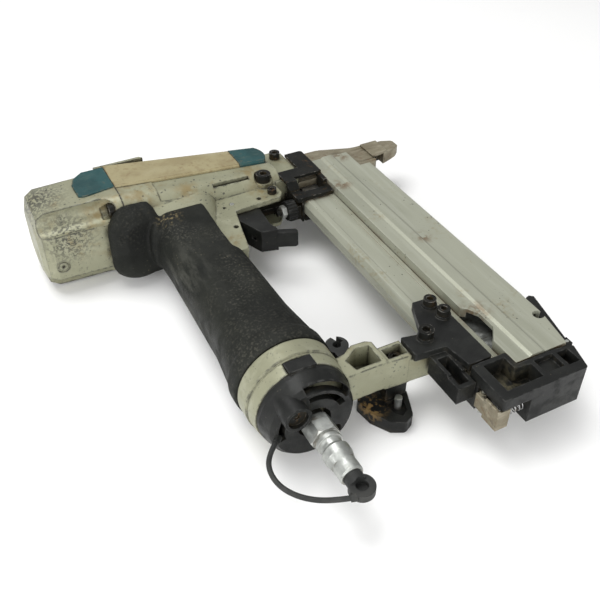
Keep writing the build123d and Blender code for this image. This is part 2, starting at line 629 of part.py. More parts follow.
def make_driver_guide():
    side = ((162.2, 8), (202, 8), (229, 4.2), (234, 4.4), (234, -17.6), (230, -21.5), (226, -29.5),
            (213.6, -29.5), (213.6, -10.2), (184, -10.2), (183.6, -25), (168.3, -25), (168.3, -12),
            (162.2, -12))
    guide = plate(side, (-7, 7))
    slope = ((198, 7), (224, 4.2), (236, 4.2), (236, 9), (198, 9))
    guide -= bar(slope, (-40, 12)) + bar([(x, -z) for x, z in reversed(slope)], (-40, 12))
    guide += box((233, 244), NOSE_CORE_Y, (-NOSE_CORE_HALF, NOSE_CORE_HALF))
    guide -= box((160, 246), (-0.95, 0.95), (-2.15, 2.15))
    guide -= box((CROWN_X - 0.6, CROWN_X + LEG + 1.0), (-32, 0.5), (-2.35, 2.35))
    return guide


def make_contact_arm():
    """The link that the trigger waits for: from the trigger, under the guide, to the shoe."""
    arm = box((118, 158.5), (ARM_Y - 2, ARM_Y + 2), (-7.6, ARM_Z + 3))
    arm += rod_x(1.9, (158, 181), ARM_Y, ARM_Z)
    arm += box((180, 183), (ARM_Y - 2.5, ARM_Y + 2.5), (-11.9, ARM_Z + 2.5))
    arm += box((180, 183), (ARM_Y - 2.5, 4), (-11.9, -9.3))
    arm += box((180, 235), (-5, 3), (-11.9, -9.3)) + box((232.6, 235), (-3.4, 3), (-11.9, SHOE_FOOT_Z))
    arm += box((232.6, 248), (-3.4, 3), (SHOE_FOOT_Z - 2, SHOE_FOOT_Z))
    arm += box((157.5, 160.5), (DIAL_Y - 2.5, ARM_Y + 2), (-7.6, 2.5))
    arm += rod_x(2.0, (143.5, 158), DIAL_Y)
    return arm


def make_contact_shoe():
    """The steel foot round the nose, which is pressed on the floor."""
    side = ((242.8, 3.7), (250.8, 3.4), (NOSE_TIP - 1.2, 2.0), (NOSE_TIP, 0.6), (NOSE_TIP, -6),
            (255.6, -9), (249.5, -11), (242.8, -13.4))
    shoe = plate(side, (-4.1, 4.1))
    slope = ((250, 4.1), (262, 2.9), (262, 9), (250, 9))
    shoe -= bar(slope, (-20, 9)) + bar([(x, -z) for x, z in reversed(slope)], (-20, 9))
    shoe += plate(((232.8, 3.4), (243, 3.7), (243, -13.4), (238, -14.5), (232.8, -15)), (4.5, 5.6))
    shoe += plate(((242.8, 3.7), (246, 3.6), (246, -12.2), (242.8, -13.4)), (3.9, 5.6))
    shoe -= box((242, 252.5), (NOSE_CORE_Y[0] - GAP, NOSE_CORE_Y[1] + GAP),
                (-NOSE_CORE_HALF - GAP, NOSE_CORE_HALF + GAP))
    shoe -= box((250, 262), (-1.1, 1.1), (-2.4, 2.4))
    shoe += box((243, 248), (-3.4, 3), (SHOE_FOOT_Z, -4.0))
    return shoe


def make_contact_spring():
    return spring_tube(3.0, 0.7, (166.2, 179.8), ARM_Y, ARM_Z)


def make_depth_dial():
    dial = rod_x(DIAL_RADIUS, (150.2, 156.4), DIAL_Y)
    for turn in range(0, 360, 20):
        at = DIAL_Y + DIAL_RADIUS * cos(radians(turn)), DIAL_RADIUS * sin(radians(turn))
        dial -= rod_x(0.6, (149, 158), *at)
    return dial - rod_x(2.06, (149, 158), DIAL_Y)


def make_lock_nut():
    plane = Plane(origin=(146.6, DIAL_Y, 0), x_dir=(0, 1, 0), z_dir=(1, 0, 0))
    return extrude(plane * RegularPolygon(4.4, 6), 3.2) - rod_x(2.02, (145, 151), DIAL_Y)


def make_nose_screws():
    return [socket_screw(*BRACKET_SCREW, 14.0, 4.8, 1.85, 5.2, 9.0),
            socket_screw(*GUIDE_SCREW, 12.0, 3.6, 1.5, 4.6, 4.8),
            socket_screw(*CHEEK_SCREW, CHEEK_TOP, 3.0, 1.5, 3.4, 3.0)]


# ---------------------------------------------------------------- magazine
def make_magazine_rail():
    left, right = RAIL_X
    rail = bar(((left, -2.9), (left + 2.4, -RAIL_HALF), (right, -RAIL_HALF), (right, RAIL_HALF),
                (left + 2.4, RAIL_HALF), (left, 2.9)), (RAIL_END, RAIL_START))
    rail -= box((CROWN_X - 0.6, right + 1), (RAIL_END - 1, -30), (-2.35, 2.35))
    # shallow cove along both faces
    for side in (-1, 1):
        rail -= box((left + 6, right - 3), (RAIL_END - 1, -30), sorted((side * 5.5, side * 8)))
        rail -= box((164, 166.1), (-219.5, -215.5), sorted((side * 0.5, side * 7)))
    for x, y in RAIL_SCREWS:
        rail -= rod_z(1.55, x, y, (2.2, 8))
    return rail


def make_staple_core():
    """The steel plate that the staples straddle, held by its tail at the rear."""
    core = box((CROWN_X + WIRE + 0.4, 215), (-214, STRIP_FRONT - 0.2), (-0.95, 0.95))
    return core + box((CROWN_X - 0.4, 215), (-221, -214), (-0.95, 0.95)) + box(
        (CROWN_X - 0.4, 175.5), (-221, -214), (-2.3, 2.3))


def make_staple_strip():
    rear = STRIP_FRONT - STRIP_LENGTH
    strip = box((CROWN_X, CROWN_X + WIRE), (rear, STRIP_FRONT), (-CROWN / 2, CROWN / 2))
    for side in (-1, 1):
        strip += box((CROWN_X, CROWN_X + LEG), (rear, STRIP_FRONT),
                     sorted((side * CROWN / 2, side * (CROWN / 2 - WIRE))))
    return strip


def make_magazine_cover():
    left, right = COVER_X
    ridge = COVER_HALF + 1.0
    half = ((left, COVER_HALF), (192.6, COVER_HALF), (194.2, ridge), (200.8, ridge), (202.6, COVER_HALF),
            (220.4, COVER_HALF), (right, 6))
    outline = list(half) + [(x, -z) for x, z in reversed(half)]
    cover = bar(outline, (COVER_END, COVER_START))
    cover -= box((left - 1, 188), (COVER_END - 1, 0), (-5.4, 5.4))
    cover -= box((187, 219.4), (COVER_END - 1, 0), (-CAVITY_HALF, CAVITY_HALF))
    cover -= box((219, 223.2), (COVER_END - 1, 0), (-2.6, 2.6))
    # stepped front end
    cover -= box((213, 230), (-30, 0), (-15, 15))
    # scallop in the upper left edge
    cover -= plate(((183, -183), (187, -186), (190.5, -192), (190.5, -204), (183, -214)), (5, 13))
    # wedge for the side catch, and its thumb notch
    cover -= plate(((224.4, -185.5), (230, -185.5), (230, -231), (216.2, -231)), (-15, 15))
    cover -= rod_z(3.2, 218, -207, (5, 13))
    return cover


def make_cover_catch():
    catch = plate(((227.4, -187.5), (229.8, -186.8), (232, -188.6), (222.6, -229.8), (217.8, -229.8)),
                  (-5, 5))
    return catch - rod_z(1.05, *CATCH_PIVOT, (-20, 20))


def make_catch_pin():
    return rod_z(1.0, *CATCH_PIVOT, (-7.6, 7.6))


def make_end_cap():
    cap = plate(((162.4, -222.3), (183.6, -222.3), (183.6, -231.4), (206, -231.4), (218, -233.4),
                 (213.6, CAP_REAR), (162.4, CAP_REAR)), (-CAP_HALF, CAP_HALF), 1.2)
    cap += box((188.5, 215), (-232, -226.2), (-8.7, 8.7))
    cap -= plate(((168, -225.0), (180.8, -225.0), (180.8, -233.6), (190, -234.5), (190, -243.8),
                  (168, -243.8)), (1.5, 13))
    cap -= box((206.4, 213.4), (-243.6, -234.2), (4, 13))
    cap -= box((192.5, 204), (-243, -233.5), (8.5, 13))
    # window for the latch, open below and at the rear
    cap -= box((161, 180), (-250, -237), (-13, 4.6))
    cap -= box((161, 166.3), (-238, -230.2), (-13, 4.6))
    # ears of the side catch
    for side in (-1, 1):
        cap += plate(((214, -231.9), (214, -224.6), (222.6, -224.6), (222.6, -229.4), (217.8, -233)),
                     sorted((side * 5.3, side * 7.6)))
    cap -= rod_z(1.05, *CATCH_PIVOT, (-20, 20))
    return cap - rod_z(1.02, *LATCH_PIVOT, (-13, 9))


def make_latch_lever():
    lever = box((160.6, 162.0), (-248.6, -238), (-9, 4)) + box((160.6, 162.0), (-238.1, -231.4), (-7, 2))
    lever += box((160.6, 168), (-248.6, -247.2), (-9, 3.4))
    lever += rod_z(1.9, *LATCH_PIVOT, (-7, 2)) + box((161.5, 164), (-234.2, -232.4), (-7, 2))
    return lever - rod_z(1.04, *LATCH_PIVOT, (-13, 9))


def make_latch_pin():
    return rod_z(1.0, *LATCH_PIVOT, (-CAP_HALF, 8))


def make_latch_spring():
    return spring_tube(3.6, 0.8, (162.1, 179.9), -243, -3.5)


def make_pusher():
    front = STRIP_FRONT - STRIP_LENGTH - 0.3
    y = front - PUSHER_LENGTH, front
    pusher = box((188.6, 218.4), y, (-8.6, 8.6))
    pusher += box((176, 189), y, (-2.0, 2.0))
    return pusher - box((170, 215.6), (y[0] - 1, y[1] + 1), (-1.25, 1.25))


def make_pusher_springs():
    front = STRIP_FRONT - STRIP_LENGTH - PUSHER_LENGTH - 0.6
    springs = []
    for side in (-1, 1):
        tube = rod_y(3.2, 203, (-226, front), side * 5.2) - rod_y(2.5, 203, (-227, 0), side * 5.2)
        springs.append(tube)
    return springs


def make_bracket_plate():
    """The black plate that ties the arm to the magazine rail."""
    top = plate(((163.5, -168.5), (172, -169), (176.5, -183), (176.5, -221.2), (162.6, -221.2),
                 (160, -205), (142.6, -203.4), (142.6, -189), (154, -191.5)), (7.0, CAP_HALF), 1.0)
    block = box((151, 161.6), (-229, -204.2), (-4, 6.5)) + box((151, 161.6), (-220, -204.2), (6, 8))
    block -= box((153, 159.4), (-226.4, -208), (-2, 9))
    bracket = top + block
    bracket += box((163.5, 176.5), (-221.2, -169), (6.2, 7.5))
    bracket += rod_z(4.4, 154, -195, (7, 13.4)) + rod_z(4.2, *RAIL_SCREWS[0], (7, 13)) + rod_z(
        4.2, *RAIL_SCREWS[1], (7, 13))
    bracket -= rod_z(2.2, 154, -195, (0, 20))
    for x, y in RAIL_SCREWS:
        bracket -= rod_z(1.65, x, y, (0, 20))
    return bracket


def make_bracket_screws():
    screws = [socket_screw(154, -195, 13.4, 4.2, 2.0, 4.4, 18.0)]
    for x, y in RAIL_SCREWS:
        screws.append(socket_screw(x, y, 13.0, 3.5, 1.5, 3.6, 10.4))
    return screws


# ---------------------------------------------------------------- the whole tool
PIECES = {
    "head_cap": make_head_cap, "rear_pad": make_rear_pad, "body_housing": make_body,
    "label_panel": make_label_panel, "front_pad": make_front_pad, "cylinder_sleeve": make_sleeve,
    "piston": make_piston, "piston_ring": make_piston_ring, "driver_blade": make_driver_blade,
    "bumper": make_bumper, "head_valve": make_head_valve, "head_valve_seal": make_head_valve_seal,
    "head_valve_spring": make_head_valve_spring, "grip_rubber": make_grip, "rear_arm": make_rear_arm,
    "exhaust_cap": make_exhaust_cap, "air_plug": make_air_plug, "dust_cap": make_dust_cap,
    "dust_cap_strap": make_dust_strap, "wrench_clip": make_wrench_clip, "hook": make_hook,
    "hook_bolt": make_hook_bolt, "hook_peg": make_hook_peg, "trigger": make_trigger,
    "trigger_pin": make_trigger_pin, "valve_body": make_valve_body, "valve_stem": make_valve_stem,
    "valve_spring": make_valve_spring, "nose_bracket": make_nose_bracket,
    "driver_guide": make_driver_guide, "contact_arm": make_contact_arm,
    "contact_shoe": make_contact_shoe, "contact_spring": make_contact_spring,
    "depth_dial": make_depth_dial, "lock_nut": make_lock_nut, "magazine_rail": make_magazine_rail,
    "staple_core": make_staple_core, "staple_strip": make_staple_strip,
    "magazine_cover": make_magazine_cover, "cover_catch": make_cover_catch, "catch_pin": make_catch_pin,
    "magazine_end_cap": make_end_cap, "latch_lever": make_latch_lever, "latch_pin": make_latch_pin,
    "latch_spring": make_latch_spring, "pusher": make_pusher, "bracket_plate": make_bracket_plate,
}
GROUPS = {
    "cap_bolts": make_cap_bolts, "exhaust_screws": make_exhaust_screws,
    "nose_screws": make_nose_screws, "pusher_springs": make_pusher_springs,
    "bracket_screws": make_bracket_screws,
}
CORD_NODES = ("dust_cap_strap", "dust_cap")


def main():
    nodes = {name: make() for name, make in PIECES.items()}
    nodes.update({name: Compound(children=make()) for name, make in GROUPS.items()})
    os.makedirs("parts", exist_ok=True)
    shift = Pos(*[-value for value in ORIGIN])
    for name, shape in nodes.items():
        export_step(shift * shape, f"parts/{name}.step")
    standing = Compound(children=[shape for name, shape in nodes.items() if name not in CORD_NODES])
    low, high = standing.bounding_box().min, standing.bounding_box().max
    print("box", [round(value, 2) for value in (*low, *high)])
    middle = [(low.X + high.X) / 2, (low.Y + high.Y) / 2, low.Z]
    print("origin should be", [round(value, 3) for value in middle])


main()
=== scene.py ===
import json
from math import cos, pi, radians, sin

import bmesh
import bpy
import numpy as np
from mathutils import Matrix, Vector


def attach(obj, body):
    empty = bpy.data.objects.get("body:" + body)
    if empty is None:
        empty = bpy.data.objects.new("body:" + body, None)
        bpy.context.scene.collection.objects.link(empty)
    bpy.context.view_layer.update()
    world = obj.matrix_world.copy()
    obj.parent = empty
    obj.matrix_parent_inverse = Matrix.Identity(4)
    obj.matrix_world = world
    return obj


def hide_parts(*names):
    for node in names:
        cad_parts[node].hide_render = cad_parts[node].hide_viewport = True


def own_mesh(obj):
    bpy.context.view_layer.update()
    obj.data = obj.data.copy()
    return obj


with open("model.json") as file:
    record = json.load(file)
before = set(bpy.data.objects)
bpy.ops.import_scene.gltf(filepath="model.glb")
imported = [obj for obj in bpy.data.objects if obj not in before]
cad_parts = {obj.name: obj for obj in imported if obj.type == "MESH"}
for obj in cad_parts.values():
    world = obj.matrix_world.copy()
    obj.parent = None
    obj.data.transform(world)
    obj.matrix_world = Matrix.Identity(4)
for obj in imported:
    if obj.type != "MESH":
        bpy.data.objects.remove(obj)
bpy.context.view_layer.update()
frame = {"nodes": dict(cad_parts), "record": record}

# Design frame (millimetres, as in the part's source) to the row frame (metres)
ORIGIN = Vector((127.75, -110.75, -28.0))


def P(x, y, z):
    return (Vector((x, y, z)) - ORIGIN) / 1000.0


scene = bpy.context.scene
nodes = frame["nodes"]


# ------------------------------------------------------------------ camera
CAMERA_PLACE = (-38.0, -428.0, 285.0)
CAMERA_FORWARD = (0.35024438, 0.68066789, -0.64344394)
CAMERA_RIGHT = (0.88918863, -0.45754079, 0.0)
LENS, SENSOR = 47.04, 36.0


def make_camera():
    data = bpy.data.cameras.new("camera")
    data.lens, data.sensor_width = LENS, SENSOR
    data.clip_start, data.clip_end = 0.01, 20.0
    camera = bpy.data.objects.new("camera", data)
    scene.collection.objects.link(camera)
    forward = Vector(CAMERA_FORWARD).normalized()
    right = Vector(CAMERA_RIGHT).normalized()
    up = right.cross(forward).normalized()
    basis = Matrix((right, up, -forward)).transposed().to_4x4()
    basis.translation = P(*CAMERA_PLACE)
    camera.matrix_world = basis
    scene.camera = camera


make_camera()


# ------------------------------------------------------------------ node helpers
class Shader:
    """A Principled material built from layers of procedural masks."""

    def __init__(self, name, rough, metallic=0.0, ior=1.45):
        self.mat = bpy.data.materials.new(name)
        self.mat.use_nodes = True
        self.tree = self.mat.node_tree
        self.tree.nodes.clear()
        self.out = self.new("ShaderNodeOutputMaterial")
        self.bsdf = self.new("ShaderNodeBsdfPrincipled")
        self.link(self.bsdf.outputs[0], self.out.inputs[0])
        self.bsdf.inputs["Metallic"].default_value = metallic
        self.bsdf.inputs["IOR"].default_value = ior
        self.where = self.new("ShaderNodeTexCoord").outputs["Object"]
        self.rough_base = rough
        self.color = None
        self.rough = None
        self.height = None

    def new(self, kind):
        return self.tree.nodes.new(kind)

    def link(self, a, b):
        self.tree.links.new(a, b)

    def put(self, socket, value):
        if isinstance(value, (int, float)):
            socket.default_value = value
        elif isinstance(value, tuple):
            socket.default_value = value if len(value) == 4 else (*value, 1.0)
        else:
            self.link(value, socket)

    def math(self, op, a, b):
        node = self.new("ShaderNodeMath")
        node.operation = op
        self.put(node.inputs[0], a)
        self.put(node.inputs[1], b)
        return node.outputs[0]

    def ramp(self, value, low, high):
        node = self.new("ShaderNodeMapRange")
        node.interpolation_type = "SMOOTHSTEP"
        self.put(node.inputs["Value"], value)
        node.inputs["From Min"].default_value, node.inputs["From Max"].default_value = low, high
        return node.outputs["Result"]

    def stretched(self, stretch, shift=0.0):
        node = self.new("ShaderNodeMapping")
        self.link(self.where, node.inputs["Vector"])
        node.inputs["Scale"].default_value = stretch
        node.inputs["Location"].default_value = (shift, shift * 0.7, shift * 1.3)
        return node.outputs[0]

    def noise(self, scale, low=0.4, high=0.6, detail=5.0, rough=0.6, stretch=(1, 1, 1), shift=0.0):
        node = self.new("ShaderNodeTexNoise")
        self.link(self.stretched(stretch, shift), node.inputs["Vector"])
        node.inputs["Scale"].default_value = scale
        node.inputs["Detail"].default_value = detail
        node.inputs["Roughness"].default_value = rough
        return self.ramp(node.outputs["Fac"], low, high)

    def specks(self, scale, size, density, shift=0.0):
        """Small irregular dots; density is the share of cells that hold one."""
        node = self.new("ShaderNodeTexVoronoi")
        warp = self.new("ShaderNodeTexNoise")
        warp.inputs["Scale"].default_value = scale * 1.7
        self.link(self.where, warp.inputs["Vector"])
        mix = self.new("ShaderNodeVectorMath")
        mix.operation = "MULTIPLY_ADD"
        self.link(warp.outputs["Color"], mix.inputs[0])
        mix.inputs[1].default_value = (0.7 / scale,) * 3
        self.link(self.stretched((1, 1, 1), shift), mix.inputs[2])
        self.link(mix.outputs[0], node.inputs["Vector"])
        node.inputs["Scale"].default_value = scale
        near = self.ramp(node.outputs["Distance"], size, size * 0.6)
        split = self.new("ShaderNodeSeparateColor")
        self.link(node.outputs["Color"], split.inputs[0])
        chosen = self.ramp(split.outputs[0], density, density - 0.02)
        return self.math("MULTIPLY", near, chosen)

    def bevel(self, radius):
        node = self.new("ShaderNodeBevel")
        node.samples = 6
        node.inputs["Radius"].default_value = radius
        return node.outputs[0]

    def edges(self, radius, low=0.004, high=0.12):
        """1 on convex and concave edges, 0 on flats: where the rounded normal leaves the true one."""
        geometry = self.new("ShaderNodeNewGeometry")
        dot = self.new("ShaderNodeVectorMath")
        dot.operation = "DOT_PRODUCT"
        self.link(self.bevel(radius), dot.inputs[0])
        self.link(geometry.outputs["Normal"], dot.inputs[1])
        return self.ramp(self.math("SUBTRACT", 1.0, dot.outputs["Value"]), low, high)

    def cavity(self, distance, low=0.35, high=0.95):
        """1 in corners and recesses, 0 in the open."""
        node = self.new("ShaderNodeAmbientOcclusion")
        node.samples = 6
        node.inputs["Distance"].default_value = distance
        return self.ramp(node.outputs["AO"], high, low)

    def spot(self, centre, radius):
        """A soft patch round a point in the row frame."""
        node = self.new("ShaderNodeVectorMath")
        node.operation = "DISTANCE"
        self.link(self.where, node.inputs[0])
        node.inputs[1].default_value = centre
        return self.ramp(node.outputs["Value"], radius / 1000.0, 0.0)

    def both(self, a, b):
        return self.math("MULTIPLY", a, b)

    def paint(self, color, mask=None, amount=1.0):
        """Lays a colour over what is there, through a mask."""
        if self.color is None:
            self.color = color
            return self
        node = self.new("ShaderNodeMix")
        node.data_type = "RGBA"
        self.put(node.inputs[0], self.both(mask, amount))
        self.put(node.inputs[6], self.color)
        self.put(node.inputs[7], color)
        self.color = node.outputs[2]
        return self

    def roughen(self, value, mask):
        """Moves the roughness to a value, through a mask."""
        node = self.new("ShaderNodeMix")
        node.data_type = "FLOAT"
        self.put(node.inputs[0], mask)
        self.put(node.inputs[2], self.rough if self.rough is not None else self.rough_base)
        self.put(node.inputs[3], value)
        self.rough = node.outputs[0]
        return self

    def raise_by(self, mask, millimetres):
        lift = self.math("MULTIPLY", mask, millimetres / 1000.0)
        self.height = lift if self.height is None else self.math("ADD", self.height, lift)
        return self

    def done(self, round_by=0.4):
        """Joins everything up; round_by is the radius in millimetres that edges are shaded with."""
        self.put(self.bsdf.inputs["Base Color"], self.color)
        self.put(self.bsdf.inputs["Roughness"], self.rough if self.rough is not None else self.rough_base)
        normal = self.bevel(round_by / 1000.0) if round_by else None
        if self.height is not None:
            bump = self.new("ShaderNodeBump")
            bump.inputs["Strength"].default_value = 1.0
            bump.inputs["Distance"].default_value = 1.0
            self.link(self.height, bump.inputs["Height"])
            if normal is not None:
                self.link(normal, bump.inputs["Normal"])
            normal = bump.outputs[0]
        if normal is not None:
            self.link(normal, self.bsdf.inputs["Normal"])
        return self.mat


# ------------------------------------------------------------------ materials
# The near-black brown below is laid only into recesses through the occlusion mask: painted shade, also
# grime.
GRIME_AND_PAINTED_SHADE = (0.026, 0.021, 0.012)
RUST = (0.12, 0.060, 0.020)
STAIN = (0.20, 0.145, 0.055)
CHIP = (0.045, 0.045, 0.038)


def silver_paint():
    s = Shader("silver_paint_worn", 0.40, metallic=0.25)
    s.paint((0.285, 0.285, 0.195))
    s.paint((0.205, 0.205, 0.135), s.noise(22, 0.40, 0.62), 0.55)
    s.paint((0.37, 0.37, 0.275), s.noise(70, 0.52, 0.70, shift=3), 0.45)
    s.paint(STAIN, s.both(s.noise(45, 0.52, 0.68, shift=7), s.noise(260, 0.35, 0.7, shift=1)), 0.65)
    stained = (((62, -13, 26), 20), ((35, -18, 20), 15), ((138, -14, 18), 16), ((92, -20, 20), 13),
               ((140, -30, 11), 15), ((150, -196, 10), 16), ((56, -2, 26), 16), ((100, -70, 11), 12))
    for place, radius in stained:
        centre = P(*place)
        s.paint(STAIN, s.both(s.spot(centre, radius), s.noise(170, 0.36, 0.62, shift=radius)), 0.8)
    s.paint(CHIP, s.both(s.specks(330, 0.26, 0.30), s.noise(24, 0.44, 0.60, shift=11)), 0.9)
    s.paint(CHIP, s.specks(900, 0.30, 0.08, shift=5), 0.75)
    # short dark scratches and rubbed patches
    s.paint(CHIP, s.both(s.noise(520, 0.58, 0.66, detail=8, shift=13),
                         s.noise(34, 0.50, 0.64, shift=17)), 0.7)
    edge = s.edges(0.0018)
    s.paint(CHIP, s.both(edge, s.noise(240, 0.42, 0.56, detail=8, shift=9)), 0.95)
    s.paint((0.44, 0.44, 0.37), s.both(edge, s.noise(90, 0.55, 0.68, shift=14)), 0.5)
    # the hard scuffs round the end of the head
    rim = s.spot(P(2, -10, 10), 44)
    s.paint(CHIP, s.both(s.both(rim, edge), s.noise(420, 0.32, 0.48, detail=8, shift=2)), 1.0)
    s.paint(CHIP, s.both(s.spot(P(4, 2, 22), 26), s.noise(600, 0.43, 0.54, detail=8, shift=21)), 0.95)
    s.paint(CHIP, s.both(s.spot(P(14, -26, 12), 24), s.noise(500, 0.46, 0.56, detail=8, shift=23)), 0.95)
    # painted shade with grime: near-black brown in corners and recesses, through the occlusion mask
    s.paint(GRIME_AND_PAINTED_SHADE, s.both(s.cavity(0.007, 0.25, 0.8), s.noise(150, 0.28, 0.56, shift=4)), 0.92)
    s.roughen(0.62, s.noise(120, 0.45, 0.65, shift=6))
    s.roughen(0.28, s.noise(35, 0.60, 0.75, shift=8))
    s.raise_by(s.noise(1400, 0.3, 0.7), 0.018)
    s.raise_by(s.noise(180, 0.3, 0.7, shift=5), 0.05)
    return s.done(1.0)


def label_silver():
    s = Shader("label_cream", 0.45, metallic=0.1)
    s.paint((0.31, 0.27, 0.15))
    s.paint((0.23, 0.185, 0.095), s.noise(60, 0.42, 0.62), 0.6)
    s.paint((0.40, 0.37, 0.25), s.noise(30, 0.48, 0.66, shift=2, stretch=(0.4, 1, 1)), 0.6)
    s.paint((0.17, 0.11, 0.05), s.both(s.noise(320, 0.50, 0.64, detail=8),
                                       s.noise(40, 0.4, 0.7, shift=3)), 0.6)
    edge = s.edges(0.0016)
    s.paint((0.12, 0.085, 0.04), s.both(edge, s.noise(160, 0.32, 0.58, shift=1)), 0.9)
    s.paint(CHIP, s.specks(700, 0.28, 0.06, shift=2), 0.6)
    s.roughen(0.62, s.noise(140, 0.4, 0.65))
    s.raise_by(s.noise(1200, 0.3, 0.7), 0.015)
    return s.done(0.5)


def teal_pad():
    s = Shader("teal_rubber", 0.50, ior=1.38)
    s.paint((0.013, 0.060, 0.062))
    s.paint((0.007, 0.036, 0.038), s.noise(60, 0.40, 0.62), 0.7)
    s.paint((0.045, 0.085, 0.076), s.noise(140, 0.52, 0.70, shift=3, stretch=(0.5, 1, 1)), 0.45)
    s.paint((0.17, 0.155, 0.10), s.both(s.edges(0.0014), s.noise(300, 0.44, 0.60, shift=6)), 0.6)
    s.paint((0.16, 0.12, 0.06), s.both(s.noise(420, 0.54, 0.68, detail=8),
                                       s.noise(50, 0.45, 0.6, shift=2)), 0.6)
    s.roughen(0.72, s.noise(180, 0.4, 0.65, shift=4))
    s.raise_by(s.noise(1500, 0.3, 0.7), 0.02)
    return s.done(0.8)


def grip_rubber():
    s = Shader("grip_elastomer", 0.60, ior=1.24)
    s.paint((0.010, 0.011, 0.009))
    s.paint((0.021, 0.022, 0.018), s.noise(28, 0.40, 0.66), 0.7)
    s.paint((0.008, 0.009, 0.008), s.noise(55, 0.48, 0.70, shift=2), 0.6)
    s.paint((0.075, 0.072, 0.058), s.both(s.noise(700, 0.50, 0.64, detail=8),
                                          s.noise(34, 0.44, 0.64, shift=3)), 0.55)
    s.paint((0.15, 0.135, 0.09), s.both(s.specks(650, 0.26, 0.16), s.noise(30, 0.46, 0.62, shift=9)), 0.7)
    # lighter streak along the near side: painted sheen, also rubbed rubber
    s.paint((0.085, 0.085, 0.072), s.both(s.noise(160, 0.44, 0.66, shift=12, stretch=(1, 0.3, 1)),
                                        s.spot(P(58, -90, 4), 42)), 0.5)
    # painted shade: the grip darkened to near black at its front end beside the lobe and at the flare
    for centre, radius in ((P(57, -36, 10), 30), (P(88, -165, 10), 34)):
        s.paint((0.005, 0.0055, 0.005), s.spot(centre, radius), 0.9)
    for centre, radius in ((P(58, -32, 16), 9), (P(72, -42, 17), 12)):
        s.paint((0.20, 0.16, 0.08), s.both(s.spot(centre, radius),
                                           s.noise(380, 0.52, 0.62, shift=radius)), 0.8)
    s.roughen(0.50, s.noise(45, 0.45, 0.65, shift=6))
    s.roughen(0.74, s.noise(90, 0.48, 0.62, shift=1))
    s.raise_by(s.noise(2600, 0.35, 0.65), 0.03)
    s.raise_by(s.noise(420, 0.35, 0.65, shift=2), 0.04)
    return s.done(0.5)


def black_plastic():
    s = Shader("black_nylon", 0.36, ior=1.30)
    s.paint((0.008, 0.0085, 0.008))
    s.paint((0.018, 0.019, 0.017), s.noise(60, 0.42, 0.66), 0.7)
    s.paint((0.060, 0.050, 0.032), s.both(s.cavity(0.007, 0.25, 0.75),
                                          s.noise(240, 0.42, 0.62, detail=8)), 0.5)
    s.paint((0.07, 0.07, 0.066), s.both(s.edges(0.0012), s.noise(260, 0.46, 0.62, shift=3)), 0.6)
    s.paint((0.11, 0.10, 0.07), s.both(s.specks(800, 0.26, 0.08), s.noise(60, 0.42, 0.6, shift=5)), 0.6)
    # dust and mud in the end cap's pocket and on the hook
    s.paint((0.13, 0.115, 0.07), s.both(s.spot(P(179, -235, 3), 14),
                                        s.noise(260, 0.38, 0.60, detail=8, shift=8)), 0.75)
    s.paint((0.36, 0.23, 0.09), s.both(s.spot(P(121, -199, -19), 12),
                                       s.noise(300, 0.47, 0.56, detail=7, shift=2)), 0.85)
    s.roughen(0.62, s.noise(110, 0.42, 0.64, shift=2))
    s.raise_by(s.noise(1500, 0.3, 0.7), 0.025)
    return s.done(0.6)


def black_steel():
    s = Shader("black_oxide_steel", 0.40, metallic=0.05, ior=1.24)
    s.paint((0.006, 0.0065, 0.0055))
    s.paint((0.014, 0.014, 0.012), s.noise(80, 0.42, 0.64), 0.7)
    s.paint((0.060, 0.043, 0.020), s.both(s.cavity(0.008, 0.2, 0.8),
                                          s.noise(150, 0.36, 0.60, detail=8)), 0.75)
    s.paint((0.20, 0.19, 0.17), s.both(s.edges(0.0009), s.noise(330, 0.48, 0.60, shift=3)), 0.7)
    s.paint(RUST, s.both(s.noise(420, 0.56, 0.68, detail=8, shift=7), s.noise(60, 0.46, 0.62)), 0.5)
    s.roughen(0.60, s.noise(140, 0.42, 0.64, shift=2))
    s.raise_by(s.noise(1300, 0.3, 0.7), 0.02)
    return s.done(0.45)


def zinc_steel():
    s = Shader("dull_zinc_plate", 0.34, metallic=0.9)
    s.paint((0.46, 0.475, 0.45))
    s.paint((0.28, 0.29, 0.275), s.noise(160, 0.40, 0.66), 0.7)
    # painted shade with grime: dark brown in recesses, through the occlusion mask
    s.paint((0.10, 0.075, 0.045), s.both(s.cavity(0.004, 0.3, 0.9), s.noise(260, 0.35, 0.60)), 0.85)
    s.paint((0.14, 0.11, 0.07), s.noise(90, 0.54, 0.68, shift=5, stretch=(1, 3, 1)), 0.6)
    s.paint((0.50, 0.50, 0.46), s.both(s.edges(0.0008), s.noise(300, 0.42, 0.6, shift=3)), 0.6)
    s.roughen(0.55, s.noise(200, 0.42, 0.64, shift=2))
    s.raise_by(s.noise(1700, 0.3, 0.7), 0.012)
    return s.done(0.3)


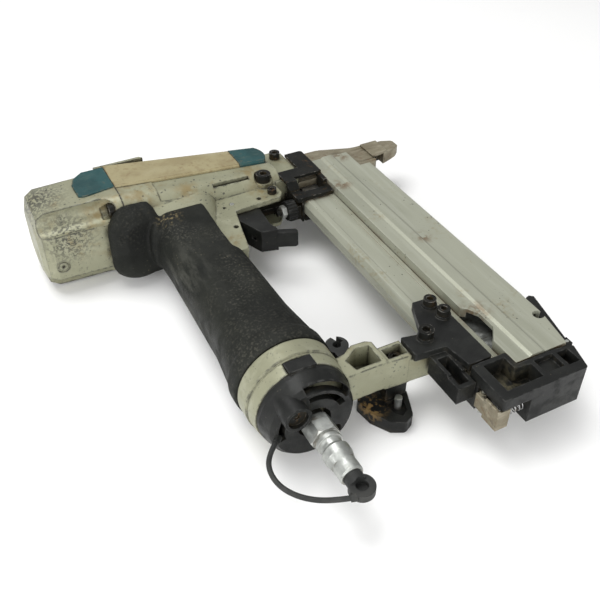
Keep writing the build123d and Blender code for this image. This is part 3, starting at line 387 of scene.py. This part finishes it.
def tan_steel():
    s = Shader("weathered_tool_steel", 0.55, metallic=0.35)
    s.paint((0.235, 0.21, 0.145))
    s.paint((0.15, 0.125, 0.08), s.noise(110, 0.42, 0.62, stretch=(0.35, 1, 1)), 0.7)
    s.paint((0.33, 0.30, 0.225), s.noise(240, 0.50, 0.68, shift=4, stretch=(0.3, 1, 1)), 0.6)
    # long grinding marks along the drive axis
    s.paint((0.085, 0.07, 0.045), s.noise(330, 0.56, 0.66, detail=6, shift=19, stretch=(0.12, 1, 1)), 0.7)
    s.paint(RUST, s.both(s.noise(300, 0.52, 0.66, detail=8, shift=2), s.noise(70, 0.42, 0.6)), 0.55)
    # painted shade with grime: near-black brown in recesses, through the occlusion mask
    s.paint(GRIME_AND_PAINTED_SHADE, s.both(s.cavity(0.006, 0.25, 0.85), s.noise(180, 0.35, 0.6)), 0.8)
    s.paint((0.38, 0.35, 0.27), s.both(s.edges(0.0010), s.noise(260, 0.45, 0.6, shift=3)), 0.6)
    s.roughen(0.40, s.noise(160, 0.48, 0.66, shift=2))
    s.raise_by(s.noise(900, 0.3, 0.7), 0.03)
    s.raise_by(s.noise(160, 0.3, 0.7, shift=5, stretch=(0.3, 1, 1)), 0.10)
    return s.done(0.8)


def magazine_alloy():
    s = Shader("anodised_extrusion", 0.44, metallic=0.35)
    s.paint((0.325, 0.333, 0.265))
    s.paint((0.25, 0.258, 0.20), s.noise(30, 0.42, 0.62, stretch=(1, 0.25, 1)), 0.6)
    s.paint((0.39, 0.40, 0.33), s.noise(260, 0.48, 0.66, shift=3, stretch=(1, 0.05, 1)), 0.45)
    s.paint(STAIN, s.both(s.noise(50, 0.54, 0.70, shift=7, stretch=(1, 0.6, 1)),
                          s.noise(420, 0.42, 0.66, detail=8)), 0.5)
    s.paint(CHIP, s.both(s.specks(420, 0.24, 0.16), s.noise(30, 0.48, 0.60, shift=4)), 0.8)
    s.paint(CHIP, s.both(s.specks(900, 0.28, 0.05, shift=3), s.noise(20, 0.4, 0.6, shift=2)), 0.6)
    s.paint((0.42, 0.42, 0.36), s.both(s.edges(0.0010), s.noise(120, 0.35, 0.6, shift=3)), 0.5)
    # painted shade with brown dirt: darker brown in recesses and in the valley between rail and cover
    s.paint((0.17, 0.11, 0.055), s.both(s.cavity(0.006, 0.2, 0.8),
                                        s.noise(120, 0.35, 0.6, stretch=(1, 0.4, 1))), 0.85)
    rusty = (((189, -190, 10), 13), ((189, -46, 12), 10), ((203, -120, 12), 9), ((206, -14, 12), 9))
    for place, radius in rusty:
        centre = P(*place)
        s.paint(RUST, s.both(s.spot(centre, radius), s.noise(220, 0.40, 0.60, detail=8, shift=radius)), 0.85)
    s.roughen(0.56, s.noise(120, 0.42, 0.64, shift=2, stretch=(1, 0.2, 1)))
    s.raise_by(s.noise(1500, 0.3, 0.7, stretch=(1, 0.06, 1)), 0.010)
    return s.done(0.5)


def machined_alloy():
    s = Shader("hard_anodised_alloy", 0.35, metallic=0.8)
    s.paint((0.55, 0.55, 0.54))
    s.paint((0.40, 0.40, 0.39), s.noise(90, 0.42, 0.62, stretch=(0.2, 1, 1)), 0.6)
    # painted shade with grime: near-black brown in recesses, through the occlusion mask
    s.paint(GRIME_AND_PAINTED_SHADE, s.both(s.cavity(0.004), s.noise(200)), 0.5)
    s.raise_by(s.noise(2200, 0.3, 0.7, stretch=(0.1, 1, 1)), 0.006)
    return s.done(0.3)


def spring_steel():
    s = Shader("spring_wire", 0.35, metallic=0.9)
    s.paint((0.42, 0.42, 0.42))
    s.paint((0.22, 0.17, 0.12), s.noise(300, 0.48, 0.66), 0.6)
    s.roughen(0.5, s.noise(400, 0.4, 0.6))
    return s.done(0.0)


def nitrile():
    s = Shader("nitrile_rubber", 0.5, ior=1.35)
    s.paint((0.020, 0.021, 0.020))
    s.paint((0.042, 0.042, 0.038), s.noise(120, 0.42, 0.64), 0.6)
    s.paint((0.11, 0.10, 0.08), s.both(s.specks(900, 0.27, 0.10), s.noise(90, 0.45, 0.6)), 0.6)
    s.roughen(0.66, s.noise(170, 0.4, 0.62, shift=2))
    s.raise_by(s.noise(1700, 0.3, 0.7), 0.02)
    return s.done(0.5)


def staple_wire():
    s = Shader("galvanised_staples", 0.35, metallic=0.85)
    s.paint((0.55, 0.55, 0.53))
    wave = s.new("ShaderNodeTexWave")
    wave.bands_direction = "Y"
    wave.inputs["Scale"].default_value = 0.3183 * 1000 / 2
    s.link(s.where, wave.inputs["Vector"])
    s.paint((0.16, 0.16, 0.15), s.ramp(wave.outputs["Fac"], 0.25, 0.05), 0.8)
    s.paint((0.42, 0.40, 0.36), s.noise(160), 0.4)
    s.raise_by(s.ramp(wave.outputs["Fac"], 0.0, 0.4), 0.12)
    return s.done(0.0)


MATERIALS = {
    "silver_paint": silver_paint(), "label_silver": label_silver(), "teal_pad": teal_pad(),
    "grip_rubber": grip_rubber(), "black_plastic": black_plastic(), "black_steel": black_steel(),
    "zinc_steel": zinc_steel(), "tan_steel": tan_steel(), "magazine_alloy": magazine_alloy(),
    "machined_alloy": machined_alloy(), "spring_steel": spring_steel(), "nitrile": nitrile(),
    "staple_wire": staple_wire(),
}

NODE_SLOT = {sub["node"]: sub["material_slot"] for sub in frame["record"]["subparts"]}
for name, node in nodes.items():
    for material_slot in node.material_slots:
        material_slot.material = MATERIALS[NODE_SLOT[name]]


# ------------------------------------------------------------------ pieces
def piece(name, mesh, material, body, replaces=()):
    obj = bpy.data.objects.new(name, mesh)
    scene.collection.objects.link(obj)
    obj.data.materials.clear()
    obj.data.materials.append(MATERIALS[material])
    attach(obj, body)
    if replaces:
        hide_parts(*replaces)
    return obj


STRAP = ((75.5, -255.5, 0), (66.5, -252.0, -1), (57.2, -244.5, -2), (51.8, -234.8, -3),
         (50.9, -225.0, -3), (54.2, -216.8, -2.6), (60.2, -211.8, -2))
STRAP_DIAMETER = 0.0026


def make_strap():
    curve = bpy.data.curves.new("dust_cap_strap_cord", "CURVE")
    curve.dimensions = "3D"
    curve.resolution_u = 24
    curve.bevel_depth = STRAP_DIAMETER / 2
    curve.bevel_resolution = 6
    curve.use_fill_caps = True
    spline = curve.splines.new("NURBS")
    route = list(reversed(STRAP))
    spline.points.add(len(route) - 1)
    for point, place in zip(spline.points, route):
        point.co = (*P(*place), 1.0)
    spline.order_u = 3
    spline.use_endpoint_u = True
    strap = bpy.data.objects.new("dust_cap_strap_cord", curve)
    scene.collection.objects.link(strap)
    curve.materials.append(MATERIALS["nitrile"])
    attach(strap, "tool")
    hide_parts("dust_cap_strap")


make_strap()


GRIP_VOXEL = 0.0008            # metres
GRIP_SOFTENING = 3             # smoothing steps over the whole grip
VALLEY_SOFTENING = 12          # and then only near the valley
VALLEY = (67.5, -39.0, 22.0)
VALLEY_REACH = 0.006
FILL_CENTRE = (63.5, -43.0, 2.0)
FILL_RADII = (0.0055, 0.007, 0.017)


def moulded_grip():
    """The grip's solid with softened edges, and rubber added in the gap beside its lobe."""
    work = bpy.data.objects.new("work", nodes["grip_rubber"].data.copy())
    build = bmesh.new()
    build.from_mesh(work.data)
    fill = Matrix.Translation(P(*FILL_CENTRE)) @ Matrix.Diagonal((*FILL_RADII, 1.0))
    bmesh.ops.create_icosphere(build, subdivisions=4, radius=1.0, matrix=fill)
    build.to_mesh(work.data)
    build.free()
    scene.collection.objects.link(work)
    remesh = work.modifiers.new("remesh", "REMESH")
    remesh.mode, remesh.voxel_size, remesh.use_smooth_shade = "VOXEL", GRIP_VOXEL, True
    bpy.context.view_layer.update()
    mesh = bpy.data.meshes.new_from_object(work.evaluated_get(bpy.context.evaluated_depsgraph_get()))
    bpy.data.objects.remove(work)
    mesh.name = "grip_rubber_moulded"
    count = len(mesh.vertices)
    places = np.empty(count * 3)
    mesh.vertices.foreach_get("co", places)
    places = places.reshape(count, 3)
    pairs = np.empty(len(mesh.edges) * 2, dtype=int)
    mesh.edges.foreach_get("vertices", pairs)
    first, second = pairs.reshape(-1, 2).T
    degree = np.bincount(first, minlength=count) + np.bincount(second, minlength=count)
    away = np.linalg.norm((places - np.array(P(*VALLEY))) * (1.0, 1.0, 0.6), axis=1)
    near = np.clip(1.5 - away / VALLEY_REACH, 0.0, 1.0)
    for step in range(GRIP_SOFTENING + VALLEY_SOFTENING):
        around = np.zeros_like(places)
        for axis in range(3):
            around[:, axis] = (np.bincount(first, places[second, axis], count)
                               + np.bincount(second, places[first, axis], count))
        amount = near if step >= GRIP_SOFTENING else np.full(count, 0.5)
        places += amount[:, None] * (around / degree[:, None] - places)
    mesh.vertices.foreach_set("co", places.ravel())
    mesh.update()
    return mesh


piece("grip_rubber_moulded", moulded_grip(), "grip_rubber", "tool", ["grip_rubber"])


def tube_mesh(name, centres, radius, sides=10):
    """A closed round tube along a line of points."""
    verts, faces = [], []
    up = Vector((0.0, 0.0, 1.0))
    for i, at in enumerate(centres):
        along = (centres[min(i + 1, len(centres) - 1)] - centres[max(i - 1, 0)]).normalized()
        side = along.cross(up)
        side = side.normalized() if side.length > 1e-4 else along.cross(Vector((1.0, 0.0, 0.0))).normalized()
        other = side.cross(along).normalized()
        for k in range(sides):
            turn = 2 * pi * k / sides
            verts.append(at + radius * (cos(turn) * side + sin(turn) * other))
    for i in range(len(centres) - 1):
        for k in range(sides):
            a, b = i * sides + k, i * sides + (k + 1) % sides
            faces.append((a, b, b + sides, a + sides))
    faces.append(tuple(reversed(range(sides))))
    faces.append(tuple(range(len(verts) - sides, len(verts))))
    mesh = bpy.data.meshes.new(name)
    mesh.from_pydata([tuple(v) for v in verts], [], faces)
    mesh.update()
    for polygon in mesh.polygons:
        polygon.use_smooth = True
    return mesh


def coil_mesh(name, start, end, radius, wire, turns):
    """A compression spring with closed end coils, along X or Y between two points."""
    axis = (end - start).normalized()
    side = Vector((0.0, 0.0, 1.0))
    other = axis.cross(side)
    length = (end - start).length
    steps, centres = 18, []
    total = turns * steps
    for i in range(total + 1):
        t = i / total
        rest = 1.2 / turns
        share = min(max((t - rest) / (1 - 2 * rest), 0.0), 1.0)
        along = wire / 2 + (length - wire) * (0.06 * min(t / rest, 1.0) + 0.88 * share
                                              + 0.06 * max((t - 1 + rest) / rest, 0.0))
        turn = 2 * pi * i / steps
        centres.append(start + axis * along + (radius - wire / 2) * (cos(turn) * side + sin(turn) * other))
    return tube_mesh(name, centres, wire / 2)


# name, body, joint, low end, high end, radius, wire, turns, is the high end fixed, share kept
SPRINGS = (
    ("head_valve_spring", "tool", "head_valve_slide",
     (9.1, 0, 0), (17.8, 0, 0), 14.0, 1.4, 4, False, 0.54),
    ("valve_spring", "tool", "valve_stem_slide",
     (84.6, -52, 0), (94.4, -52, 0), 3.9, 0.8, 7, False, 0.71),
    ("contact_spring", "tool", "contact_arm_slide",
     (166.2, -28, -6.5), (179.8, -28, -6.5), 3.0, 0.7, 8, False, 0.41),
    ("latch_spring", "magazine_cover", "latch_hinge",
     (162.5, -243, -3.5), (179.9, -243, -3.5), 3.2, 0.7, 8, True, 0.82),
)
PUSHER_SPRING_Y = (-226.0, -122.1)
PUSHER_SPRING_Z = (-5.2, 5.2)


def make_springs():
    """Each spring stands for its tube."""
    for name, body, joint, start, end, radius, wire, turns, fixed_end, keep in SPRINGS:
        a, b = P(*start), P(*end)
        mesh = coil_mesh(name + "_coil", a, b, radius / 1000, wire / 1000, turns)
        coil = piece(name + "_coil", mesh, "spring_steel", body, [name])
        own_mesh(coil)
    back, front = PUSHER_SPRING_Y
    for k, z in enumerate(PUSHER_SPRING_Z):
        a, b = P(203, back, z), P(203, front, z)
        mesh = coil_mesh("pusher_coil", a, b, 0.0032, 0.0007, 26)
        coil = piece(f"pusher_spring_coil_{k}", mesh, "spring_steel", "magazine_cover",
                     ["pusher_springs"])
        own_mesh(coil)


make_springs()


def rounded_ring(name, x, width, half_y, half_z, radius, proud, thick):
    """A thin band round the head's outline: the dark edge of the gasket between head and body."""
    outer = []
    for cy, cz, first in ((1, 1, 0), (-1, 1, 90), (-1, -1, 180), (1, -1, 270)):
        for k in range(9):
            turn = radians(first + k * 90 / 8)
            outer.append((cy * (half_y - radius) + radius * cos(turn),
                          cz * (half_z - radius) + radius * sin(turn), cos(turn), sin(turn)))
    verts, faces = [], []
    for y, z, ny, nz in outer:
        for dx, lift in ((-width / 2, proud), (width / 2, proud), (width / 2, -thick), (-width / 2, -thick)):
            verts.append(tuple(P(x + dx, y + ny * lift, z + nz * lift)))
    count = len(outer)
    for i in range(count):
        j = (i + 1) % count
        for k in range(4):
            faces.append((4 * i + k, 4 * i + (k + 1) % 4, 4 * j + (k + 1) % 4, 4 * j + k))
    mesh = bpy.data.meshes.new(name)
    mesh.from_pydata(verts, [], faces)
    mesh.update()
    return mesh


gasket = rounded_ring("head_gasket_edge", x=50.0, width=0.45, half_y=27.5, half_z=27.5, radius=13.0,
                      proud=0.03, thick=0.8)
piece("head_gasket_edge", gasket, "nitrile", "tool")


# ------------------------------------------------------------------ floor and light
def make_floor():
    size = 6.0
    mesh = bpy.data.meshes.new("floor")
    corners = [(-size, -size, 0), (size, -size, 0), (size, size, 0), (-size, size, 0)]
    mesh.from_pydata(corners, [], [(0, 1, 2, 3)])
    floor = bpy.data.objects.new("floor", mesh)
    scene.collection.objects.link(floor)
    s = Shader("pale_floor", 0.9)
    s.paint((0.90, 0.90, 0.895))
    s.paint((0.885, 0.885, 0.88), s.noise(6, 0.4, 0.6), 0.5)
    mesh.materials.append(s.done(0.0))
    floor.location.z = -0.0001


def add_area(name, place, aim, size, power, color=(1.0, 1.0, 1.0)):
    data = bpy.data.lights.new(name, "AREA")
    data.shape, data.size, data.size_y = "RECTANGLE", size[0], size[1]
    data.energy, data.color = power, color
    light = bpy.data.objects.new(name, data)
    scene.collection.objects.link(light)
    light.location = place
    light.rotation_euler = (Vector(aim) - Vector(place)).to_track_quat("-Z", "Y").to_euler()


def make_light():
    world = bpy.data.worlds.new("soft_white")
    scene.world = world
    world.use_nodes = True
    background = world.node_tree.nodes["Background"]
    background.inputs["Color"].default_value = (1.0, 1.0, 1.0, 1.0)
    background.inputs["Strength"].default_value = 0.50
    add_area("key_overhead", (-0.25, 0.35, 1.3), (0, 0, 0), (1.0, 0.8), 13.5)
    add_area("fill_front", (-0.3, -1.2, 0.45), (0, 0, 0), (0.9, 0.6), 9.0)
    add_area("fill_left", (-1.2, -0.35, 0.50), (0, 0, 0), (0.7, 0.6), 7.0)


make_floor()
make_light()
scene.view_settings.view_transform = "Standard"
